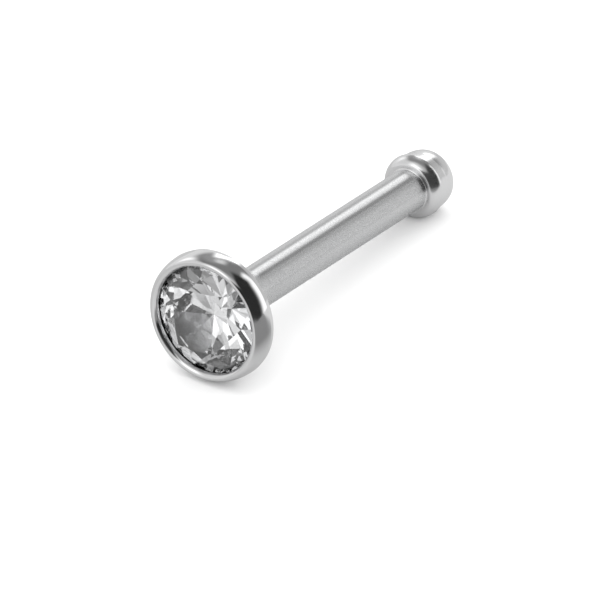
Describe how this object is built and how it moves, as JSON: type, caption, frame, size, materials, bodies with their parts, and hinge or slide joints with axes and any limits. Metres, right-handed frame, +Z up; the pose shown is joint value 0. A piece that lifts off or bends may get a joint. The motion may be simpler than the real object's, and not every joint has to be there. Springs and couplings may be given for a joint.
{
  "type": "nose stud",
  "caption": "Straight nose stud: a polished bezel cup holding a round brilliant stone, on a satin post that ends in a short rounded bone.",
  "frame": {"origin": "under the middle of the stud's bounding box, on the surface that it lies on", "axes": "+Z up; +Y runs along the post from the bezel head to the bone end, which lies lower by the resting tilt of 5.5 degrees; +X across"},
  "size_m": [0.003, 0.0094, 0.0031],
  "materials": {
    "steel": "polished head and bone, satin post",
    "crystal": "clear, faceted and polished"
  },
  "bodies": {
    "root": {"bezel_post_body": "steel", "brilliant_stone": "crystal"}
  },
  "joints": []
}
